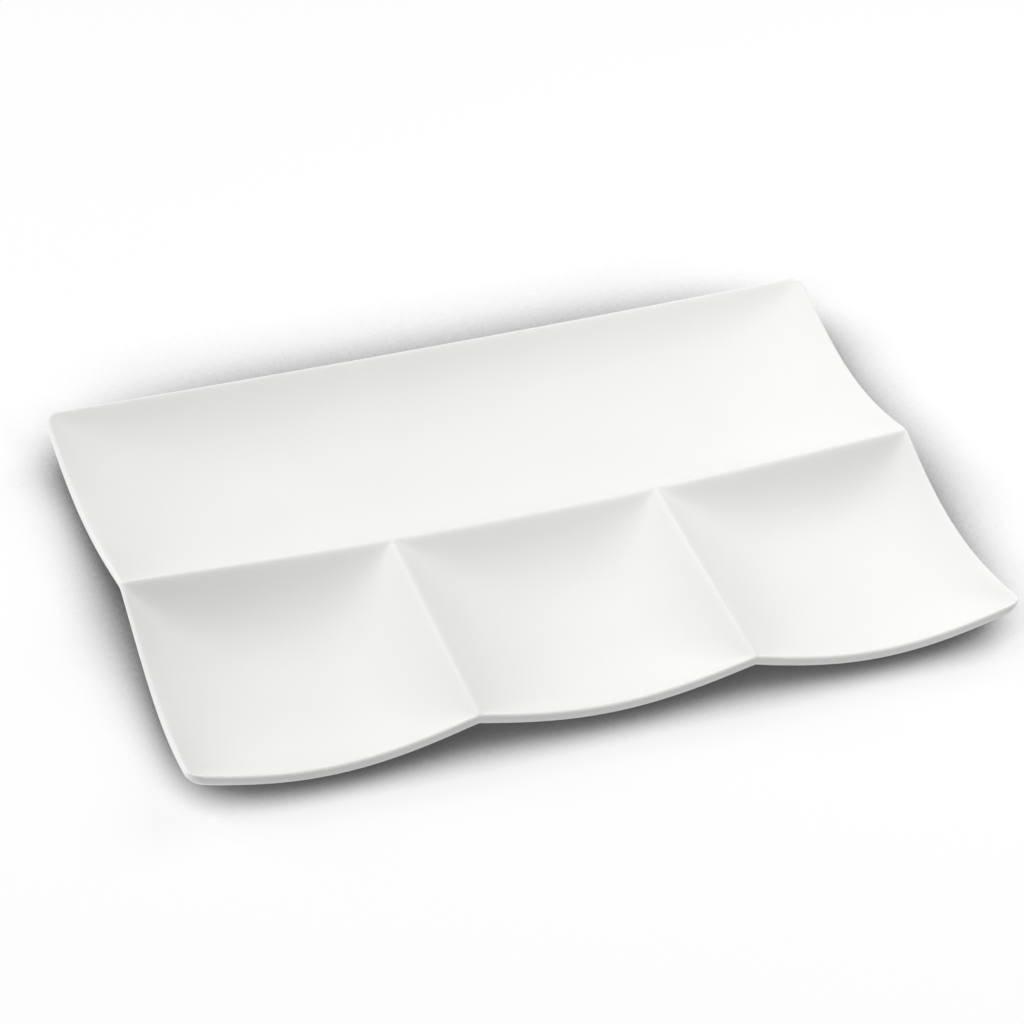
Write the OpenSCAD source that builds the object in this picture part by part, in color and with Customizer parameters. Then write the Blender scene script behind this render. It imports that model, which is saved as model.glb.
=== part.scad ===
// Porcelain serving dish with one long rear well and three front wells.
// The dish is one wavy sheet: its rim and its dividers are crests that sag between peaks.
// X runs along the length, Y from front to back, Z up from the table.

/* [Overall] */
// Length from the left rim to the right rim
length = 320; // [280:5:380]
// Width from the front rim to the back rim
width = 216; // [196:4:256]
// Height of the highest points, where the long divider meets the side rims
height = 31; // [28:1:40]
// Radius of the four corners, seen from above
corner_r = 6; // [4:0.5:12]

/* [Wells] */
// Length of the middle front well, between the two cross dividers
middle_length = 106; // [95:1:120]
// How far the long divider stands in front of the middle of the dish
divider_offset = 4.5; // [0:0.5:8]
// Thickness of the floors of the wells
floor_t = 4.5; // [3.5:0.25:6]
// Thickness of the sheet at the rim, measured upright
wall_t = 4.2; // [3.8:0.1:6]
// Thickness of the sheet at the dividers, measured upright
divider_t = 10; // [8:0.5:12]
// How suddenly a wall turns into its floor
wall_turn = 2.5; // [2:0.1:3.5]
// How sharp the folds are where two walls of a well meet
fold = 2; // [1.5:0.25:6]

/* [Wall runs] */
// Run of the back wall of the rear well, from rim to floor
back_run = 62; // [45:1:75]
// Run of the wall behind the long divider
rear_divider_run = 52; // [35:1:70]
// Run of the two end walls of the rear well
end_run = 78; // [50:1:100]
// Run of the wall in front of the long divider
divider_run = 46; // [35:1:60]
// Run of the walls beside the cross dividers
cross_run = 44; // [35:1:50]
// Run of the walls below the side rims of the front wells
side_run = 48; // [35:1:60]
// Run of the wall behind the front rim
front_run = 50; // [35:1:60]

/* [Rim and crests] */
// Drop from the highest points to the four corners
corner_drop = 4; // [0:0.25:5]
// Sag of the back rim
back_sag = 1.3; // [0:0.1:4]
// Sag of the side rims beside the rear well
rear_side_sag = 9.8; // [4:0.1:12]
// Sag of the side rims beside the front wells
front_side_sag = 10.4; // [4:0.1:13]
// Sag of the front rim at the two outer wells
outer_front_sag = 9.9; // [4:0.1:13]
// Sag of the front rim at the middle well
middle_front_sag = 8.4; // [4:0.1:13]
// Sag of the long divider
divider_sag = 5.7; // [1:0.1:7]
// Sag of the cross dividers
cross_sag = 0.5; // [0:0.1:4]
// How far the side rims are drawn in at the long divider
side_pinch = 2; // [0:0.25:5]
// Radius of the rounded edges of the rim
lip_r = 1.6; // [1:0.1:1.8]
// Rounding of the divider crests
crest_r = 1.8; // [0.8:0.1:3]
// Rounding of the hollows under the dividers
hollow_r = 6; // [3:0.5:8]

/* [Feet] */
// Height of the foot rings
foot_h = 2.5; // [1.5:0.25:4]
// Thickness of the wall of a foot ring
foot_wall = 5; // [4:0.25:6]
// Rounding of the standing edges of a foot ring
foot_edge = 1; // [0.5:0.1:1.5]
// Corner radius of a foot ring, at the middle of its wall
foot_corner = 9; // [6:0.5:12]
// Distance from the edges of a front well to the outside of its foot ring
foot_inset = 33; // [31:0.5:36]
// Distance from the end rims to the outside of the rear foot ring
rear_foot_inset = 52; // [48:1:70]
// Distance from the long edges of the rear well to the outside of its foot ring
rear_foot_side = 37; // [36:0.5:42]

/* [Hidden] */
$fn = 48;
glaze = [0.95, 0.95, 0.93];
bare_clay = [0.86, 0.83, 0.78];

half_l = length / 2;
half_w = width / 2;
cross_x = middle_length / 2;
divider_y = -divider_offset;
corner_z = height - corner_drop;
floor_z = foot_h + floor_t;
// The underside is drawn this far below the top of the feet, and is cut flat there to seat them
seat_dip = 1.5;
// Over this distance from the rim the underside grows from wall_t to divider_t
core_run = 40;
// Fullness and peak rounding of a sagging edge, as plain ratios
swell = 0.91;
peak_round = 0.06;
// Places of the section lines of a well, as shares of the way from its edge to its middle
line_shares = [0.055, 0.11, 0.2, 0.34, 0.54, 0.77, 1];
crest_shares = [0, 0.012, 0.028];
lip_steps = 3;
right_angle = 90;

function mix(a, b, s) = a + (b - a) * s;

// The sag of an edge along its length: 0 at its two peaks and 1 halfway
function wave(s) =
    let (rise = pow(sin(2 * right_angle * s), 2), low = pow(peak_round, swell))
    (pow(rise + pow(peak_round, 2), swell / 2) - low)
    / (pow(1 + pow(peak_round, 2), swell / 2) - low);

// Heights of the rims and the divider crests
function divider_z(x) = height - divider_sag * wave((x + half_l) / length);
function back_z(x) = corner_z - back_sag * wave((x + half_l) / length);
function rear_side_z(y) =
    let (s = (y - divider_y) / (half_w - divider_y))
    mix(height, corner_z, s) - rear_side_sag * wave(s);
function front_share(y) = (y + half_w) / (divider_y + half_w);
function front_side_z(y) =
    mix(corner_z, height, front_share(y)) - front_side_sag * wave(front_share(y));
function cross_z(y) =
    mix(corner_z, divider_z(cross_x), front_share(y)) - cross_sag * wave(front_share(y));
function outer_front_z(x) =
    corner_z - outer_front_sag * wave((abs(x) - cross_x) / (half_l - cross_x));
function middle_front_z(x) =
    corner_z - middle_front_sag * wave((x + cross_x) / middle_length);

// A well is its place along X and Y, its four edges and the runs of the walls below them.
// Edges and runs come in the order left, right, front, back.
side_edge = function (y) front_side_z(y);
cross_edge = function (y) cross_z(y);
long_edge = function (x) divider_z(x);
outer_edge = function (x) outer_front_z(x);
rear = [[-half_l, half_l], [divider_y, half_w],
        [function (y) rear_side_z(y), function (y) rear_side_z(y),
         long_edge, function (x) back_z(x)],
        [end_run, end_run, rear_divider_run, back_run]];
left = [[-half_l, -cross_x], [-half_w, divider_y],
        [side_edge, cross_edge, outer_edge, long_edge],
        [side_run, cross_run, front_run, divider_run]];
middle = [[-cross_x, cross_x], [-half_w, divider_y],
          [cross_edge, cross_edge, function (x) middle_front_z(x), long_edge],
          [cross_run, cross_run, front_run, divider_run]];
right = [[cross_x, half_l], [-half_w, divider_y],
         [cross_edge, side_edge, outer_edge, long_edge],
         [cross_run, side_run, front_run, divider_run]];

// The surface that spans the four edges of a well, before the well is sunk into it
function span_z(well, x, y) =
    let (u = (x - well[0][0]) / (well[0][1] - well[0][0]),
         v = (y - well[1][0]) / (well[1][1] - well[1][0]),
         left_z = well[2][0], right_z = well[2][1],
         front_z = well[2][2], back_edge_z = well[2][3])
    mix(left_z(y), right_z(y), u) + mix(front_z(x), back_edge_z(x), v)
    - mix(mix(front_z(well[0][0]), front_z(well[0][1]), u),
          mix(back_edge_z(well[0][0]), back_edge_z(well[0][1]), u), v);

// How far a wall has come down at a distance from its edge: 0 at the edge, 1 on the floor
function wall(distance, run) = 1 - pow(1 - min(1, distance / run), wall_turn);
function eased(distance, r) = sqrt(pow(distance, 2) + pow(r, 2)) - r;

// The depth of a well, from 0 on its edges to 1 on its floor
function depth(well, x, y, r) =
    let (across = wall(eased(x - well[0][0], r), well[3][0])
                  * wall(eased(well[0][1] - x, r), well[3][1]),
         along = wall(eased(y - well[1][0], r), well[3][2])
                 * wall(eased(well[1][1] - y, r), well[3][3]),
         both = across * along)
    both > 0
        ? both / pow(pow(across, fold) + pow(along, fold) - pow(both, fold), 1 / fold)
        : 0;

function top_z(well, x, y) =
    let (edge = span_z(well, x, y))
    mix(edge, floor_z, depth(well, x, y, crest_r));

function under_z(well, x, y) =
    let (core = wall(half_l - abs(x), core_run) * wall(half_w - abs(y), core_run),
         edge = span_z(well, x, y) - mix(wall_t, divider_t, core),
         r = mix(crest_r, hollow_r, core))
    max(foot_h, mix(edge, foot_h - seat_dip, depth(well, x, y, r)));

// Places seen from above: the corners are rounded and the sides are drawn in at the divider
function corner_share(distance) = max(0, 1 - distance / corner_r);
function corner_turn(a, b) = a * sqrt(1 - b * b / 2);
function pinch(x, y) =
    let (span = y > divider_y ? half_w - divider_y : half_w + divider_y,
         side = max(0, (abs(x) - cross_x) / (half_l - cross_x)))
    side_pinch * side * (1 + cos(2 * right_angle * min(1, abs(y - divider_y) / span))) / 2;
function plan(x, y) =
    let (a = corner_share(half_l - abs(x)), b = corner_share(half_w - abs(y)),
         px = a > 0 ? half_l - corner_r + corner_r * corner_turn(a, b) : abs(x),
         py = b > 0 ? half_w - corner_r + corner_r * corner_turn(b, a) : abs(y))
    [sign(x) * (px - pinch(x, y)), sign(y) * py];
function to_rim(x, y) =
    let (a = corner_share(half_l - abs(x)), b = corner_share(half_w - abs(y)))
    a > 0 && b > 0
        ? corner_r * (1 - norm([corner_turn(a, b), corner_turn(b, a)]))
        : min(half_l - abs(x), half_w - abs(y));
function lip(x, y) =
    let (inset = lip_r - max(0, to_rim(x, y)))
    inset > 0 ? lip_r - sqrt(pow(lip_r, 2) - pow(inset, 2)) : 0;

// Section lines between two places, closer together at the rims and the crests
function steps(half, rim) = concat(
    rim ? [for (i = [0 : lip_steps]) lip_r * (1 - sin(right_angle * (1 - i / lip_steps)))]
        : [for (share = crest_shares) share * half],
    [for (share = line_shares) mix(rim ? lip_r : 0, half, share)]);
function lines(place, low_rim, high_rim) =
    let (half = (place[1] - place[0]) / 2, up = steps(half, low_rim),
         down = steps(half, high_rim))
    concat([for (s = up) place[0] + s],
           [for (i = [len(down) - 2 : -1 : 0]) place[1] - down[i]]);
function but_first(list) = [for (i = [1 : len(list) - 1]) list[i]];

left_lines = lines(left[0], true, false);
middle_lines = lines(middle[0], false, false);
right_lines = lines(right[0], false, true);
rear_lines = concat(left_lines, but_first(middle_lines), but_first(right_lines));

// The sheet of one well, as a closed shell over its section lines
module well_sheet(well, xs, ys) {
    nx = len(xs);
    ny = len(ys);
    count = nx * ny;
    tops = [for (x = xs, y = ys) concat(plan(x, y), top_z(well, x, y) - lip(x, y))];
    unders = [for (x = xs, y = ys) concat(plan(x, y), under_z(well, x, y) + lip(x, y))];
    cells = [for (i = [0 : nx - 2], j = [0 : ny - 2]) i * ny + j];
    top_faces = [for (c = cells, half = [0, 1])
        half == 0 ? [c, c + 1, c + ny + 1] : [c, c + ny + 1, c + ny]];
    under_faces = [for (f = top_faces) [f[2] + count, f[1] + count, f[0] + count]];
    border = concat([for (j = [0 : ny - 2]) j],
                    [for (i = [0 : nx - 2]) i * ny + ny - 1],
                    [for (j = [ny - 1 : -1 : 1]) (nx - 1) * ny + j],
                    [for (i = [nx - 1 : -1 : 1]) i * ny]);
    edge_faces = [for (k = [0 : len(border) - 1], half = [0, 1])
        let (a = border[k], b = border[(k + 1) % len(border)])
        half == 0 ? [b, a, a + count] : [b, a + count, b + count]];
    polyhedron(concat(tops, unders), concat(top_faces, under_faces, edge_faces));
}

// Section of a foot ring: straight sides and two rounded standing edges
module foot_section() {
    translate([-foot_wall / 2, foot_edge])
        square([foot_wall, foot_h - foot_edge]);
    translate([foot_edge - foot_wall / 2, 0])
        square([foot_wall - 2 * foot_edge, foot_h]);
    for (side = [-1, 1])
        translate([side * (foot_wall / 2 - foot_edge), foot_edge])
            circle(foot_edge);
}

// One rounded rectangle of foot under the middle of a well
module foot_ring(place, insets) {
    l = place[0][1] - place[0][0] - 2 * insets[0] - foot_wall;
    w = place[1][1] - place[1][0] - 2 * insets[1] - foot_wall;
    cx = (place[0][0] + place[0][1]) / 2;
    cy = (place[1][0] + place[1][1]) / 2;
    translate([cx, cy]) {
        for (turn = [0 : 3])
            let (across = turn % 2 == 0 ? l : w, deep = turn % 2 == 0 ? w : l)
            rotate(turn * right_angle) {
                translate([across / 2 - foot_corner, deep / 2 - foot_corner])
                    rotate_extrude(angle = right_angle)
                        translate([foot_corner, 0])
                            foot_section();
                translate([across / 2 - foot_corner, deep / 2, 0])
                    rotate([right_angle, 0, -right_angle])
                        linear_extrude(across - 2 * foot_corner)
                            foot_section();
            }
    }
}

module rear_well()
    color(glaze) well_sheet(rear, rear_lines, lines(rear[1], false, true));

module left_well()
    color(glaze) well_sheet(left, left_lines, lines(left[1], true, false));

module middle_well()
    color(glaze) well_sheet(middle, middle_lines, lines(middle[1], true, false));

module right_well()
    color(glaze) well_sheet(right, right_lines, lines(right[1], true, false));

module rear_foot_ring()
    color(bare_clay) foot_ring(rear, [rear_foot_inset, rear_foot_side]);

module left_foot_ring()
    color(bare_clay) foot_ring(left, [foot_inset, foot_inset]);

module middle_foot_ring()
    color(bare_clay) foot_ring(middle, [foot_inset, foot_inset]);

module right_foot_ring()
    color(bare_clay) foot_ring(right, [foot_inset, foot_inset]);

rear_well();
left_well();
middle_well();
right_well();
rear_foot_ring();
left_foot_ring();
middle_foot_ring();
right_foot_ring();
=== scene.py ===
"""Glazed porcelain serving dish with four wells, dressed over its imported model."""

import math

import bpy
from bpy.props import FloatProperty, FloatVectorProperty, IntProperty, PointerProperty
from mathutils import Matrix, Vector


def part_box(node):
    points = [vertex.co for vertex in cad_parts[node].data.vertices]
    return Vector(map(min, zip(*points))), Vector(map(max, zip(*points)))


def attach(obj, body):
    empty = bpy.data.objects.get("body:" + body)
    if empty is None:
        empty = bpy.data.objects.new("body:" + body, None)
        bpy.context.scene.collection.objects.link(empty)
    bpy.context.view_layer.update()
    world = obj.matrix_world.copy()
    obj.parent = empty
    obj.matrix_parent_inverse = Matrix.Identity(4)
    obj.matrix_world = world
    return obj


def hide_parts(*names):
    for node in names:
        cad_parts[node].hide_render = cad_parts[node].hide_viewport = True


bl_info = {
    "name": "Divided serving dish",
    "version": (1, 0, 0),
    "blender": (4, 5, 0),
    "location": "View3D > Sidebar > Dish",
    "description": "Models the wells of a wavy porcelain dish, and sets up its feet and stage",
    "category": "Object",
}

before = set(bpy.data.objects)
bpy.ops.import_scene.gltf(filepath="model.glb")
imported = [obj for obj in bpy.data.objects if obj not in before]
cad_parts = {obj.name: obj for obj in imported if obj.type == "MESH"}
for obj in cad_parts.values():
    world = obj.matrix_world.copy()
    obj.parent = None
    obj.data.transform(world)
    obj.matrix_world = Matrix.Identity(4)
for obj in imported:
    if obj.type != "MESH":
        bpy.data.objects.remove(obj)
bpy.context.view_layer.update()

MM = 0.001
BODY = "root"
FEET = ("rear_foot_ring", "left_foot_ring", "middle_foot_ring", "right_foot_ring")

REAR_LOW, REAR_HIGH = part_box("rear_well")
MIDDLE_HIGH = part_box("middle_well")[1]
FOOT_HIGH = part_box("middle_foot_ring")[1]

SHARP_ANGLE = math.radians(60.0)  # faces that meet at more than this keep a hard edge
MERGE_DISTANCE = 1e-4  # points of the slab nearer than this are one
NOT_ZERO = 1e-12  # keeps the folds from dividing by nothing
LAMP_AIM = (0.0, 0.0, 0.0)  # under the middle of the dish
NEAR_CLIP = 10 * MM  # nothing nearer to the camera is drawn

# A Mix node repeats its socket names for each kind of data. These are the colour sockets.
MIX_LOW, MIX_HIGH, MIX_RESULT = 6, 7, 2


def length_prop(name, description, default):
    """A size in metres."""
    return FloatProperty(name=name, description=description, default=default,
                         unit="LENGTH", precision=4)


def ratio_prop(name, description, default, low=0.0, high=10.0):
    """A plain number."""
    return FloatProperty(name=name, description=description, default=default,
                         min=low, max=high)


def colour_prop(name, description, default):
    """A colour in linear values."""
    return FloatVectorProperty(name=name, description=description, default=default,
                               subtype="COLOR", size=3, min=0.0, max=1.0)


def angle_prop(name, description, degrees):
    """An angle, given in degrees."""
    return FloatProperty(name=name, description=description, subtype="ANGLE",
                         default=math.radians(degrees))


class DishSizes(bpy.types.PropertyGroup):
    """Sizes of the dish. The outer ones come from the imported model."""

    half_length: length_prop("Half length", "Middle to side rim", REAR_HIGH[0])
    half_width: length_prop("Half width", "Middle to back rim", REAR_HIGH[1])
    height: length_prop("Height", "Highest points of the rim", REAR_HIGH[2])
    divider_y: length_prop("Long divider", "Place of the long divider", REAR_LOW[1])
    cross_x: length_prop("Cross divider", "Place of a cross divider", MIDDLE_HIGH[0])
    foot_height: length_prop("Foot height", "Height of the foot rings", FOOT_HIGH[2])
    floor_t: length_prop("Floor thickness", "Thickness under the wells", 4.5 * MM)
    wall_t: length_prop("Rim thickness", "Upright thickness at the rim", 4.2 * MM)
    divider_t: length_prop("Divider thickness", "Upright thickness at a divider", 10 * MM)
    core_run: length_prop("Core run", "Run from rim to divider thickness", 40 * MM)
    seat_dip: length_prop("Seat dip", "Depth of the flats for the feet", 1.5 * MM)
    corner_drop: length_prop("Corner drop", "Corners below the highest points", 4 * MM)
    back_sag: length_prop("Back sag", "Sag of the back rim", 1.3 * MM)
    rear_side_sag: length_prop("Rear side sag", "Sag beside the rear well", 9.8 * MM)
    front_side_sag: length_prop("Front side sag", "Sag beside a front well", 10.4 * MM)
    outer_front_sag: length_prop("Outer front sag", "Sag at the outer wells", 9.9 * MM)
    middle_front_sag: length_prop("Middle front sag", "Sag at the middle well", 8.4 * MM)
    divider_sag: length_prop("Divider sag", "Sag of the long divider", 5.7 * MM)
    cross_sag: length_prop("Cross sag", "Sag of the cross dividers", 0.5 * MM)
    side_pinch: length_prop("Side pinch", "How far the sides draw in", 2 * MM)
    corner_r: length_prop("Corner radius", "Corner radius from above", 6 * MM)
    lip_r: length_prop("Lip radius", "Rounding of the rim", 1.6 * MM)
    crest_r: length_prop("Crest radius", "Rounding of the crests", 1.8 * MM)
    hollow_r: length_prop("Hollow radius", "Rounding under the dividers", 6 * MM)
    back_run: length_prop("Back run", "Run of the back wall", 62 * MM)
    rear_divider_run: length_prop("Rear divider run", "Run behind the divider", 52 * MM)
    end_run: length_prop("End run", "Run of the end walls", 78 * MM)
    divider_run: length_prop("Divider run", "Run in front of the divider", 46 * MM)
    cross_run: length_prop("Cross run", "Run beside a cross divider", 44 * MM)
    side_run: length_prop("Side run", "Run below a front side rim", 48 * MM)
    front_run: length_prop("Front run", "Run behind the front rim", 50 * MM)
    wall_turn: ratio_prop("Wall turn", "How suddenly walls turn into the floor", 2.5)
    fold: ratio_prop("Fold", "How sharp the folds between two walls are", 2.0)
    swell: ratio_prop("Swell", "Fullness of a sagging edge", 0.91)
    peak_round: ratio_prop("Peak rounding", "Roundness of the rim's peaks", 0.06)
    crowding: ratio_prop("Crowding", "How much lines crowd at the edges", 0.9, 0.0, 0.95)
    long_lines: IntProperty(name="Long lines", default=168, min=8,
                            description="Mesh steps along the rear well")
    short_lines: IntProperty(name="Short lines", default=76, min=8,
                             description="Mesh steps along the shorter sides")


class GlazeLook(bpy.types.PropertyGroup):
    """Colours and finishes of the glaze and of the bare clay."""

    glaze: colour_prop("Glaze", "Colour of the glazed porcelain", (0.84, 0.84, 0.83))
    thin_glaze: colour_prop("Thin glaze", "Colour where the glaze is thin", (0.88, 0.88, 0.87))
    clay: colour_prop("Bare clay", "Colour of the standing edges", (0.66, 0.63, 0.58))
    worn_clay: colour_prop("Worn clay", "Colour of rubbed clay", (0.54, 0.51, 0.47))
    glaze_roughness: ratio_prop("Glaze roughness", "Roughness of the glaze", 0.4, 0.0, 1.0)
    clay_roughness: ratio_prop("Clay roughness", "Roughness of the clay", 0.75, 0.0, 1.0)


class StageSetup(bpy.types.PropertyGroup):
    """Camera, lamps and floor."""

    target: FloatVectorProperty(name="Target", subtype="TRANSLATION", size=3,
                                description="Point of the table in the middle of the view",
                                default=(0.0066, 0.0275, 0.0))
    distance: length_prop("Distance", "Camera to target", 1.4143)
    yaw: angle_prop("Yaw", "Turn of the camera's view to the left", -20.516)
    tilt: angle_prop("Tilt", "Height of the camera above the horizon", 39.28)
    roll: angle_prop("Roll", "Lean of the camera", 2.23)
    lens: ratio_prop("Focal length", "In millimetres, on a 36 mm sensor", 127.11, 10, 500)
    floor_size: length_prop("Floor size", "Side of the floor", 6.0)
    floor_grey: ratio_prop("Floor grey", "Light that the floor sends back to the dish",
                           0.65, 0.0, 1.0)
    floor_glow: ratio_prop("Floor glow", "Light that the floor gives to the underside",
                           0.15, 0.0, 1.0)
    floor_lift: ratio_prop("Floor lift", "Part of the seen floor's white that it gives off",
                           0.8, 0.0, 1.0)
    shade_from: FloatVectorProperty(name="Shade from", subtype="DIRECTION", size=3,
                                    description="Towards the light that the dish keeps off",
                                    default=(-0.27, -0.72, 0.63))
    shade_reach: length_prop("Shade reach", "How far the dish shades the floor", 0.09)
    shade_start: ratio_prop("Shade start", "Open share with the deepest shade", 0.58, 0.0, 1.0)
    shade_end: ratio_prop("Shade end", "Open share at which the floor is pale", 0.86, 0.0, 1.0)
    shade_depth: ratio_prop("Shade depth", "Light left in the deepest shade", 0.1, 0.0, 1.0)
    sky_power: ratio_prop("Sky", "Strength of the even light", 0.3)
    fill_power: ratio_prop("Fill", "Power of the near lamp in watts", 3.6, 0.0, 500.0)
    fill_width: length_prop("Fill width", "Side of the near lamp", 0.6)
    fill_place: FloatVectorProperty(name="Fill place", subtype="TRANSLATION", size=3,
                                    description="Where the near lamp hangs",
                                    default=(0.459, 0.0, 0.655))
    lamp_power: ratio_prop("Lamp", "Power of the main lamp in watts", 16.5, 0.0, 500.0)
    lamp_width: length_prop("Lamp width", "Side of the main lamp", 1.2)
    lamp_place: FloatVectorProperty(name="Lamp place", subtype="TRANSLATION", size=3,
                                    description="Where the main lamp hangs",
                                    default=(-1.207, 0.512, 0.918))


class Field:
    """A number that a node tree works out at every point, with the usual sums."""

    def __init__(self, tree, socket):
        self.tree = tree
        self.socket = socket

    def math(self, operation, *others):
        """A new field from this one and others, by one Math node."""
        node = self.tree.nodes.new("ShaderNodeMath")
        node.operation = operation
        for place, value in enumerate((self,) + others):
            if isinstance(value, Field):
                self.tree.links.new(value.socket, node.inputs[place])
            else:
                node.inputs[place].default_value = value
        return Field(self.tree, node.outputs[0])

    def __add__(self, other):
        return self.math("ADD", other)

    def __sub__(self, other):
        return self.math("SUBTRACT", other)

    def __mul__(self, other):
        return self.math("MULTIPLY", other)

    def __truediv__(self, other):
        return self.math("DIVIDE", other)

    def __pow__(self, other):
        return self.math("POWER", other)

    def __abs__(self):
        return self.math("ABSOLUTE")

    def rest(self):
        """What this field lacks to 1."""
        return self * -1.0 + 1.0

    def least(self, other):
        return self.math("MINIMUM", other)

    def most(self, other):
        return self.math("MAXIMUM", other)

    def root(self):
        return self.math("SQRT")


def mix(low, high, share):
    return low + (high - low) * share


def wave(share, size):
    """The sag of an edge along its length: 0 at its two peaks and 1 halfway."""
    rise = (share * math.pi).math("SINE") ** 2.0
    soft = size["Peak Rounding"] ** 2.0
    half = size["Swell"] * 0.5
    low = soft ** half
    return ((rise + soft) ** half - low) / ((soft + 1.0) ** half - low)


def edge_height(side, x, size):
    """Height of the front or the back edge of a well at a place along X."""
    start = size[side + " Start"]
    share = (x - start) / (size[side + " End"] - start)
    return size[side + " Height"] - size[side + " Sag"] * wave(share, size)


def span_height(x, y, size):
    """The surface that spans the edges of a well, before the well is sunk into it."""
    across = (x - size["Left"]) / (size["Right"] - size["Left"])
    along = (y - size["Front"]) / (size["Back"] - size["Front"])
    side_sag = mix(size["Left Sag"], size["Right Sag"], across)
    ends = mix(edge_height("Front", x, size), edge_height("Back", x, size), along)
    return ends - side_sag * wave(along, size)


def wall(distance, run, size):
    """How far a wall has come down: 0 at its edge and 1 on the floor."""
    return ((distance / run).least(1.0).rest() ** size["Wall Turn"]).rest()


def eased(distance, r):
    """A distance from a crest that starts slowly, to round the crest."""
    return (distance * distance + r * r).root() - r


def well_depth(x, y, r, size):
    """The depth of a well, from 0 on its edges to 1 on its floor."""
    across = (wall(eased(x - size["Left"], r), size["Left Run"], size)
              * wall(eased(size["Right"] - x, r), size["Right Run"], size))
    along = (wall(eased(y - size["Front"], r), size["Front Run"], size)
             * wall(eased(size["Back"] - y, r), size["Back Run"], size))
    both = across * along
    fold = size["Fold"]
    spread = (across ** fold + along ** fold - both ** fold).most(NOT_ZERO)
    return both / spread ** (fold ** -1.0)


def top_height(x, y, size):
    """Height of the glazed upper side."""
    depth = well_depth(x, y, size["Crest Radius"], size)
    return mix(span_height(x, y, size), size["Floor Height"], depth)


def under_height(x, y, size):
    """Height of the underside, thicker below the crests and flat above the feet."""
    core = (wall(size["Half Length"] - abs(x), size["Core Run"], size)
            * wall(size["Half Width"] - abs(y), size["Core Run"], size))
    edge = span_height(x, y, size) - mix(size["Wall Thickness"],
                                         size["Divider Thickness"], core)
    depth = well_depth(x, y, mix(size["Crest Radius"], size["Hollow Radius"], core), size)
    low = size["Foot Height"] - size["Seat Dip"]
    return mix(edge, low, depth).most(size["Foot Height"])


def plan_place(x, y, size):
    """Place seen from above, with round corners and drawn-in sides, and the rim's lip."""
    r = size["Corner Radius"]
    a = ((size["Half Length"] - abs(x)) / r).rest().most(0.0)
    b = ((size["Half Width"] - abs(y)) / r).rest().most(0.0)
    a_turned = a * (b * b * 0.5).rest().root()
    b_turned = b * (a * a * 0.5).rest().root()
    side = ((abs(x) - size["Cross X"]) / (size["Half Length"] - size["Cross X"])).most(0.0)
    away = (abs(y - size["Divider Y"]) / (size["Back"] - size["Front"])).least(1.0)
    pinch = size["Side Pinch"] * side * ((away * math.pi).math("COSINE") + 1.0) * 0.5
    plan_x = (abs(x) + r * (a_turned - a) - pinch) * x.math("SIGN")
    plan_y = (abs(y) + r * (b_turned - b)) * y.math("SIGN")
    to_rim = ((a_turned ** 2.0 + b_turned ** 2.0).root().rest() * r).most(0.0)
    lip_r = size["Lip Radius"]
    inset = (lip_r - to_rim).most(0.0)
    lip = lip_r - (lip_r ** 2.0 - inset ** 2.0).most(0.0).root()
    return plan_x, plan_y, lip


WELL_SIZES = (
    "Left", "Right", "Front", "Back", "Front Height", "Front Sag", "Front Start",
    "Front End", "Back Height", "Back Sag", "Back Start", "Back End", "Left Sag",
    "Right Sag", "Left Run", "Right Run", "Front Run", "Back Run", "Half Length",
    "Half Width", "Divider Y", "Cross X", "Floor Height", "Foot Height", "Seat Dip",
    "Wall Thickness", "Divider Thickness", "Core Run", "Side Pinch", "Corner Radius",
    "Lip Radius", "Crest Radius", "Hollow Radius", "Wall Turn", "Fold", "Swell",
    "Peak Rounding", "Crowding",
)


def add_node(tree, kind, links=(), **values):
    """A node with some inputs linked and others set. Input names use _ for a space."""
    node = tree.nodes.new(kind)
    for name, value in values.items():
        node.inputs[name.replace("_", " ")].default_value = value
    for name, socket in dict(links).items():
        tree.links.new(socket, node.inputs[name])
    return node


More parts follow.
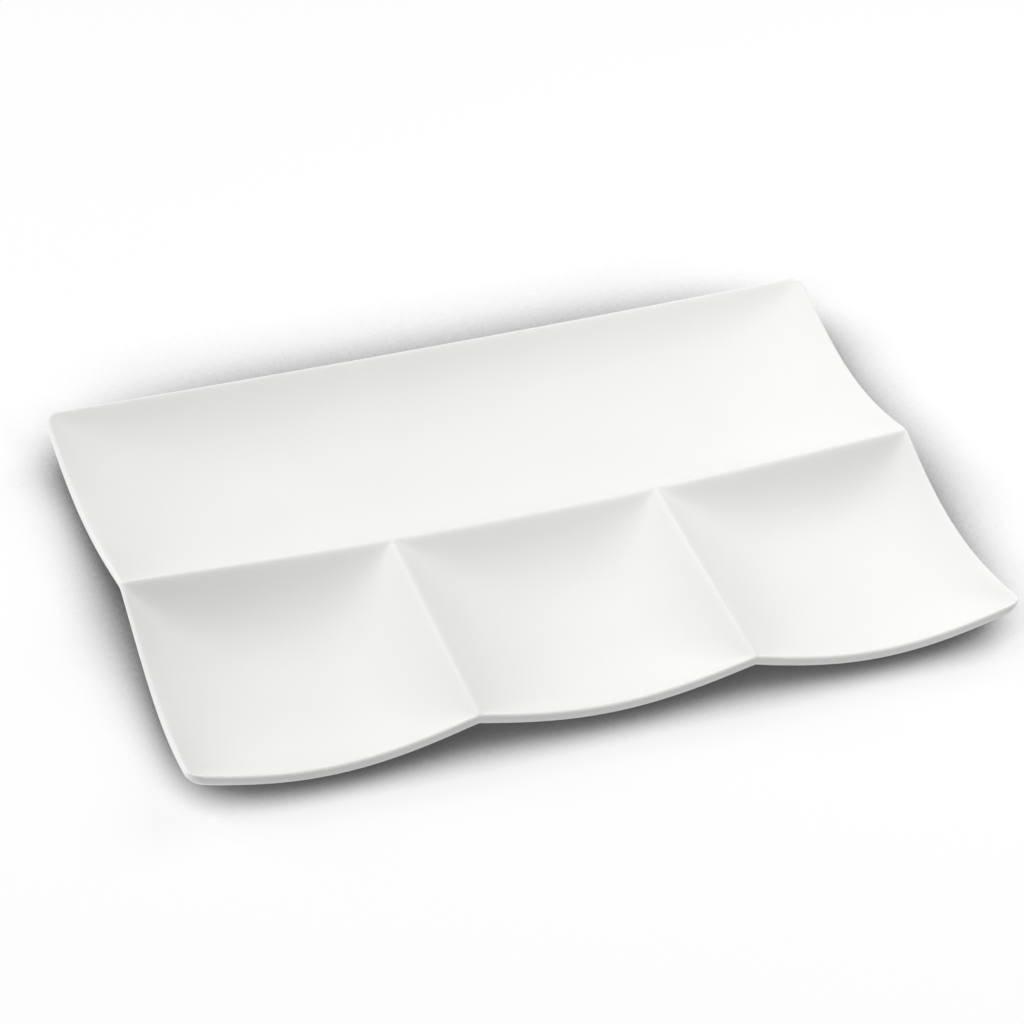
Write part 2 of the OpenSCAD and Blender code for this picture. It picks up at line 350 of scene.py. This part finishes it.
def build_well_tree():
    """The node tree of one well: a slab of mesh lines, moved to the well's surfaces."""
    tree = bpy.data.node_groups.new("Well Sheet", "GeometryNodeTree")
    make = tree.interface.new_socket
    make(name="Geometry", in_out="INPUT", socket_type="NodeSocketGeometry")
    for name in WELL_SIZES:
        make(name=name, in_out="INPUT", socket_type="NodeSocketFloat")
    for name in ("Lines Across", "Lines Along"):
        make(name=name, in_out="INPUT", socket_type="NodeSocketInt")
    make(name="Glaze", in_out="INPUT", socket_type="NodeSocketMaterial")
    make(name="Geometry", in_out="OUTPUT", socket_type="NodeSocketGeometry")
    inputs = tree.nodes.new("NodeGroupInput").outputs
    size = {name: Field(tree, inputs[name]) for name in WELL_SIZES}

    grid = add_node(tree, "GeometryNodeMeshGrid",
                    {"Vertices X": inputs["Lines Across"], "Vertices Y": inputs["Lines Along"]},
                    Size_X=1.0, Size_Y=1.0)
    upper = add_node(tree, "GeometryNodeExtrudeMesh", {"Mesh": grid.outputs["Mesh"]},
                     Offset=(0.0, 0.0, 1.0), Individual=False)
    lower = add_node(tree, "GeometryNodeFlipFaces", {"Mesh": grid.outputs["Mesh"]})
    both = tree.nodes.new("GeometryNodeJoinGeometry")
    tree.links.new(upper.outputs["Mesh"], both.inputs[0])
    tree.links.new(lower.outputs["Mesh"], both.inputs[0])
    slab = add_node(tree, "GeometryNodeMergeByDistance", {"Geometry": both.outputs[0]},
                    Distance=MERGE_DISTANCE)

    position = add_node(tree, "ShaderNodeSeparateXYZ", {
        "Vector": tree.nodes.new("GeometryNodeInputPosition").outputs[0]})
    across, along, is_top = (Field(tree, socket) for socket in position.outputs)

    def crowded(share):
        """Mesh lines that crowd at both ends of a well."""
        return share - (share * math.tau).math("SINE") * size["Crowding"] / math.tau

    x = mix(size["Left"], size["Right"], crowded(across + 0.5))
    y = mix(size["Front"], size["Back"], crowded(along + 0.5))
    plan_x, plan_y, lip = plan_place(x, y, size)
    z = mix(under_height(x, y, size) + lip, top_height(x, y, size) - lip, is_top)
    place = add_node(tree, "ShaderNodeCombineXYZ",
                     {"X": plan_x.socket, "Y": plan_y.socket, "Z": z.socket})
    sheet = add_node(tree, "GeometryNodeSetPosition",
                     {"Geometry": slab.outputs[0], "Position": place.outputs[0]})
    smooth = add_node(tree, "GeometryNodeSetShadeSmooth", {"Geometry": sheet.outputs[0]})
    solid = add_node(tree, "GeometryNodeRealizeInstances", {"Geometry": smooth.outputs[0]})
    glazed = add_node(tree, "GeometryNodeSetMaterial",
                      {"Geometry": solid.outputs[0], "Material": inputs["Glaze"]})
    output = tree.nodes.new("NodeGroupOutput")
    tree.links.new(glazed.outputs[0], output.inputs[0])
    return tree


def shared_values(s):
    """The inputs that all four wells have alike."""
    return {
        "Half Length": s.half_length, "Half Width": s.half_width,
        "Divider Y": s.divider_y, "Cross X": s.cross_x,
        "Floor Height": s.foot_height + s.floor_t, "Foot Height": s.foot_height,
        "Seat Dip": s.seat_dip, "Wall Thickness": s.wall_t,
        "Divider Thickness": s.divider_t, "Core Run": s.core_run,
        "Side Pinch": s.side_pinch, "Corner Radius": s.corner_r, "Lip Radius": s.lip_r,
        "Crest Radius": s.crest_r, "Hollow Radius": s.hollow_r, "Wall Turn": s.wall_turn,
        "Fold": s.fold, "Swell": s.swell, "Peak Rounding": s.peak_round,
        "Crowding": s.crowding, "Lines Across": s.short_lines + 1,
        "Lines Along": s.short_lines + 1,
    }


def long_divider(s, side):
    """The long divider as the front or back edge of a well."""
    return {side + " Height": s.height, side + " Sag": s.divider_sag,
            side + " Start": -s.half_length, side + " End": s.half_length}


def rear_values(s):
    """The rear well, over the whole length behind the long divider."""
    values = {
        "Left": -s.half_length, "Right": s.half_length,
        "Front": s.divider_y, "Back": s.half_width,
        "Back Height": s.height - s.corner_drop, "Back Sag": s.back_sag,
        "Back Start": -s.half_length, "Back End": s.half_length,
        "Left Sag": s.rear_side_sag, "Right Sag": s.rear_side_sag,
        "Left Run": s.end_run, "Right Run": s.end_run,
        "Front Run": s.rear_divider_run, "Back Run": s.back_run,
        "Lines Across": s.long_lines + 1,
    }
    return shared_values(s) | long_divider(s, "Front") | values


def front_values(s, left, right, rim_sag, left_edge, right_edge):
    """A front well between two places. An edge is its sag and the run of its wall."""
    values = {
        "Left": left, "Right": right, "Front": -s.half_width, "Back": s.divider_y,
        "Front Height": s.height - s.corner_drop, "Front Sag": rim_sag,
        "Front Start": left, "Front End": right,
        "Left Sag": left_edge[0], "Right Sag": right_edge[0],
        "Left Run": left_edge[1], "Right Run": right_edge[1],
        "Front Run": s.front_run, "Back Run": s.divider_run,
    }
    return shared_values(s) | long_divider(s, "Back") | values


def wells(s):
    """Each well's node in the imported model, with its inputs."""
    side = (s.front_side_sag, s.side_run)
    cross = (s.cross_sag, s.cross_run)
    return {
        "rear_well": rear_values(s),
        "left_well": front_values(s, -s.half_length, -s.cross_x,
                                  s.outer_front_sag, side, cross),
        "middle_well": front_values(s, -s.cross_x, s.cross_x,
                                    s.middle_front_sag, cross, cross),
        "right_well": front_values(s, s.cross_x, s.half_length,
                                   s.outer_front_sag, cross, side),
    }


def link(obj):
    bpy.context.scene.collection.objects.link(obj)
    return obj


def grown(tree, values, name):
    """A plain mesh object of what the tree grows from these inputs."""
    seed = link(bpy.data.objects.new(name, bpy.data.meshes.new(name + " seed")))
    modifier = seed.modifiers.new("Well", "NODES")
    modifier.node_group = tree
    for item in tree.interface.items_tree:
        if item.in_out == "INPUT" and item.name in values:
            modifier[item.identifier] = values[item.name]
    depsgraph = bpy.context.evaluated_depsgraph_get()
    mesh = bpy.data.meshes.new_from_object(seed.evaluated_get(depsgraph))
    mesh.name = name
    seed.modifiers.remove(modifier)
    seed.data = mesh
    return seed


def surface_group():
    """A group that several finishes share: slow drifts and fine grain of a fired surface."""
    name = "Fired Surface"
    if name in bpy.data.node_groups:
        return bpy.data.node_groups[name]
    tree = bpy.data.node_groups.new(name, "ShaderNodeTree")
    make = tree.interface.new_socket
    make(name="Vector", in_out="INPUT", socket_type="NodeSocketVector")
    for socket in ("Drift Scale", "Grain Scale", "Roughness", "Roughness Drift",
                   "Drift Height", "Grain Height"):
        make(name=socket, in_out="INPUT", socket_type="NodeSocketFloat")
    for socket in ("Drift", "Roughness", "Height"):
        make(name=socket, in_out="OUTPUT", socket_type="NodeSocketFloat")
    inputs = tree.nodes.new("NodeGroupInput").outputs
    drift = add_node(tree, "ShaderNodeTexNoise",
                     {"Vector": inputs["Vector"], "Scale": inputs["Drift Scale"]},
                     Detail=3.0, Roughness=0.5)
    grain = add_node(tree, "ShaderNodeTexNoise",
                     {"Vector": inputs["Vector"], "Scale": inputs["Grain Scale"]},
                     Detail=2.0, Roughness=0.6)
    slow = Field(tree, drift.outputs[0])
    fine = Field(tree, grain.outputs[0])
    values = {name: Field(tree, inputs[name]) for name in
              ("Roughness", "Roughness Drift", "Drift Height", "Grain Height")}
    rough = values["Roughness"] + (slow - 0.5) * values["Roughness Drift"]
    height = slow * values["Drift Height"] + fine * values["Grain Height"]
    output = tree.nodes.new("NodeGroupOutput")
    for name, field in (("Drift", slow), ("Roughness", rough), ("Height", height)):
        tree.links.new(field.socket, output.inputs[name])
    return tree


def finish_material(name, low, high, settings, surface):
    """A Principled material whose colour, roughness and bump come from the group."""
    material = bpy.data.materials.new(name)
    material.use_nodes = True
    tree = material.node_tree
    shader = tree.nodes["Principled BSDF"]
    for socket, value in settings.items():
        shader.inputs[socket].default_value = value
    place = tree.nodes.new("ShaderNodeTexCoord").outputs["Object"]
    group = tree.nodes.new("ShaderNodeGroup")
    group.node_tree = surface_group()
    tree.links.new(place, group.inputs["Vector"])
    for socket, value in surface.items():
        group.inputs[socket].default_value = value
    colour = tree.nodes.new("ShaderNodeMix")
    colour.data_type = "RGBA"
    colour.inputs[MIX_LOW].default_value = (*low, 1.0)
    colour.inputs[MIX_HIGH].default_value = (*high, 1.0)
    tree.links.new(group.outputs["Drift"], colour.inputs["Factor"])
    tree.links.new(colour.outputs[MIX_RESULT], shader.inputs["Base Color"])
    tree.links.new(group.outputs["Roughness"], shader.inputs["Roughness"])
    bump = add_node(tree, "ShaderNodeBump", {"Height": group.outputs["Height"]},
                    Strength=1.0, Distance=1.0)
    tree.links.new(bump.outputs[0], shader.inputs["Normal"])
    return material


def glaze_material(look):
    """Clear gloss over white porcelain, with the faint waves of a dipped glaze."""
    return finish_material(
        "Glazed porcelain", look.glaze, look.thin_glaze,
        {"IOR": 1.5, "Coat Weight": 0.35, "Coat Roughness": 0.25, "Coat IOR": 1.5},
        {"Drift Scale": 28.0, "Grain Scale": 260.0, "Roughness": look.glaze_roughness,
         "Roughness Drift": 0.06, "Drift Height": 0.00012, "Grain Height": 0.000008})


def clay_material(look):
    """Unglazed porcelain, matt and finely grained, rubbed grey where it stands."""
    return finish_material(
        "Bare porcelain", look.clay, look.worn_clay, {"IOR": 1.45},
        {"Drift Scale": 60.0, "Grain Scale": 1400.0, "Roughness": look.clay_roughness,
         "Roughness Drift": 0.2, "Drift Height": 0.00004, "Grain Height": 0.00006})


class DISH_OT_wells(bpy.types.Operator):
    """Model the four glazed wells, each from the same node tree"""

    bl_idname = "dish.wells"
    bl_label = "Add Wells"

    def execute(self, context):
        tree = build_well_tree()
        glaze = glaze_material(context.scene.dish_look)
        for node, values in wells(context.scene.dish_sizes).items():
            piece = grown(tree, values | {"Glaze": glaze}, node + "_sheet")
            piece.data.set_sharp_from_angle(angle=SHARP_ANGLE)
            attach(piece, BODY)
            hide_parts(node)
        return {"FINISHED"}


class DISH_OT_feet(bpy.types.Operator):
    """Finish the foot rings as bare clay"""

    bl_idname = "dish.feet"
    bl_label = "Finish Feet"

    def execute(self, context):
        clay = clay_material(context.scene.dish_look)
        for name in FEET:
            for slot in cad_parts[name].material_slots:
                slot.material = clay
        return {"FINISHED"}


def seen_share(tree):
    """1 where the camera looks, also in a reflection or through glass, and 0 for other light."""
    paths = tree.nodes.new("ShaderNodeLightPath").outputs
    straight = Field(tree, paths["Is Camera Ray"])
    mirrored = Field(tree, paths["Is Glossy Ray"])
    through = Field(tree, paths["Is Transmission Ray"])
    return straight.most(mirrored).most(through)


def floor_material(stage):
    """A pale floor that keeps the dish's shadow, and is clear when seen from below."""
    material = bpy.data.materials.new("Pale floor")
    material.use_nodes = True
    tree = material.node_tree
    shader = tree.nodes["Principled BSDF"]
    shader.inputs["Roughness"].default_value = 1.0
    shader.inputs["Specular IOR Level"].default_value = 0.0
    seen = seen_share(tree)
    x, y, z = stage.shade_from
    side = add_node(tree, "ShaderNodeCombineXYZ", X=x, Y=y, Z=z)
    around = add_node(tree, "ShaderNodeAmbientOcclusion", {"Normal": side.outputs[0]},
                      Distance=stage.shade_reach)
    open_share = Field(tree, around.outputs["AO"]) - stage.shade_start
    shade = open_share / (stage.shade_end - stage.shade_start)
    shade = shade.most(stage.shade_depth).least(1.0)
    grey = seen.rest() * stage.floor_grey + seen * shade * (1.0 - stage.floor_lift)
    tree.links.new(grey.socket, shader.inputs["Base Color"])
    sides = tree.nodes.new("ShaderNodeNewGeometry").outputs
    front = Field(tree, sides["Backfacing"]).rest()
    tree.links.new(front.socket, shader.inputs["Alpha"])
    glow = seen * shade * stage.floor_lift + seen.rest() * stage.floor_glow
    lift = add_node(tree, "ShaderNodeEmission", {"Strength": (glow * front).socket})
    both = tree.nodes.new("ShaderNodeAddShader")
    tree.links.new(shader.outputs[0], both.inputs[0])
    tree.links.new(lift.outputs[0], both.inputs[1])
    tree.links.new(both.outputs[0], tree.nodes["Material Output"].inputs["Surface"])
    return material


def add_floor(stage):
    """A large sheet of pale paper below the dish."""
    mesh = bpy.data.meshes.new("floor")
    half = stage.floor_size / 2
    mesh.from_pydata([(-half, -half, 0), (half, -half, 0), (half, half, 0),
                      (-half, half, 0)], [], [(0, 1, 2, 3)])
    mesh.materials.append(floor_material(stage))
    floor = link(bpy.data.objects.new("floor", mesh))


def add_sky(stage):
    """Even light from all round, white where the camera sees it."""
    world = bpy.data.worlds.new("Studio")
    world.use_nodes = True
    bpy.context.scene.world = world
    tree = world.node_tree
    strength = seen_share(tree) * (1.0 - stage.sky_power) + stage.sky_power
    sky = tree.nodes["Background"]
    sky.inputs["Color"].default_value = (1.0, 1.0, 1.0, 1.0)
    tree.links.new(strength.socket, sky.inputs["Strength"])


def add_lamp(name, place, width, watts):
    """A square soft lamp that shines at the dish and isn't mirrored in it."""
    light = bpy.data.lights.new(name, "AREA")
    light.size = width
    light.energy = watts
    lamp = link(bpy.data.objects.new(name, light))
    lamp.visible_glossy = False  # its reflection would clip the wells to white in low views
    lamp.location = place
    way = Vector(LAMP_AIM) - Vector(place)
    lamp.rotation_euler = way.to_track_quat("-Z", "Y").to_euler()


def add_camera(stage):
    """The camera, turned round its target."""
    camera = bpy.data.cameras.new("camera")
    camera.lens = stage.lens
    camera.clip_start = NEAR_CLIP
    turn = (Matrix.Rotation(stage.yaw, 4, "Z")
            @ Matrix.Rotation(math.pi / 2 - stage.tilt, 4, "X")
            @ Matrix.Rotation(stage.roll, 4, "Z"))
    place = Vector(stage.target) + turn.to_3x3() @ Vector((0.0, 0.0, stage.distance))
    holder = link(bpy.data.objects.new("camera", camera))
    holder.matrix_world = Matrix.Translation(place) @ turn
    bpy.context.scene.camera = holder


class DISH_OT_stage(bpy.types.Operator):
    """Set up the floor, the lamps and the camera"""

    bl_idname = "dish.stage"
    bl_label = "Set Up Stage"

    def execute(self, context):
        stage = context.scene.dish_stage
        add_floor(stage)
        add_sky(stage)
        add_lamp("window", stage.lamp_place, stage.lamp_width, stage.lamp_power)
        add_lamp("fill", stage.fill_place, stage.fill_width, stage.fill_power)
        add_camera(stage)
        context.scene.view_settings.view_transform = "Standard"
        return {"FINISHED"}


class DISH_PT_panel(bpy.types.Panel):
    """The dish's steps and sizes"""

    bl_idname = "DISH_PT_panel"
    bl_label = "Serving Dish"
    bl_space_type = "VIEW_3D"
    bl_region_type = "UI"
    bl_category = "Dish"

    def draw(self, context):
        layout = self.layout
        for step in STEPS:
            layout.operator(step.bl_idname)
        for group in (context.scene.dish_sizes, context.scene.dish_look,
                      context.scene.dish_stage):
            box = layout.box()
            for name in group.__annotations__:
                box.prop(group, name)


STEPS = (DISH_OT_wells, DISH_OT_feet, DISH_OT_stage)
GROUPS = {"dish_sizes": DishSizes, "dish_look": GlazeLook, "dish_stage": StageSetup}


def register():
    for group in GROUPS.values():
        bpy.utils.register_class(group)
    for step in STEPS:
        bpy.utils.register_class(step)
    bpy.utils.register_class(DISH_PT_panel)
    for name, group in GROUPS.items():
        setattr(bpy.types.Scene, name, PointerProperty(type=group))


def unregister():
    for name in GROUPS:
        delattr(bpy.types.Scene, name)
    bpy.utils.unregister_class(DISH_PT_panel)
    for step in reversed(STEPS):
        bpy.utils.unregister_class(step)
    for group in GROUPS.values():
        bpy.utils.unregister_class(group)


def main():
    """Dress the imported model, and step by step."""
    register()
    bpy.ops.dish.wells()
    bpy.ops.dish.feet()
    bpy.ops.dish.stage()


if __name__ == "__main__":
    main()
